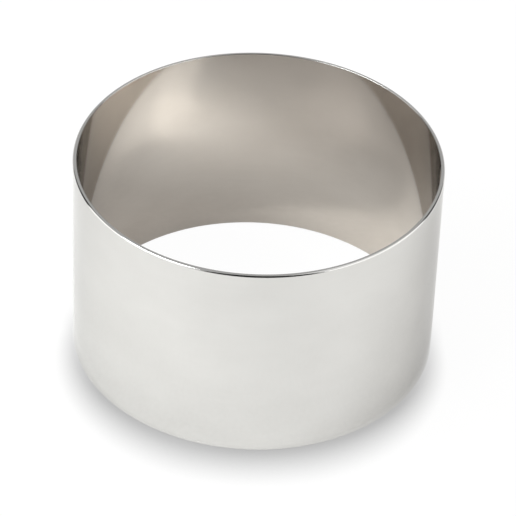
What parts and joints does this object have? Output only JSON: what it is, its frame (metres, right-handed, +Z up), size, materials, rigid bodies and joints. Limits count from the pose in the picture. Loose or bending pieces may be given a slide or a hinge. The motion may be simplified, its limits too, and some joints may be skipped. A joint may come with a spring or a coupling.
{
  "type": "ring mould",
  "caption": "Short open ring of thin polished stainless steel strip with rounded rims, closed by a flush welded seam, for cutting, baking and plating round portions.",
  "frame": {"origin": "on the ring's axis, in the plane of the lower rim that it stands on", "axes": "+Z up along the ring's axis, +X towards the welded seam, -Y towards the viewer in the picture"},
  "size_m": [0.075, 0.075, 0.045],
  "materials": {
    "polished_steel": "stainless steel strip, mirror polished outside and on the lips, fine satin inside",
    "weld_steel": "stainless weld metal, ground flush and polished outside, left as a low bead inside"
  },
  "bodies": {
    "root": {"rolled_band": "polished_steel", "seam_weld": "weld_steel"}
  },
  "joints": []
}
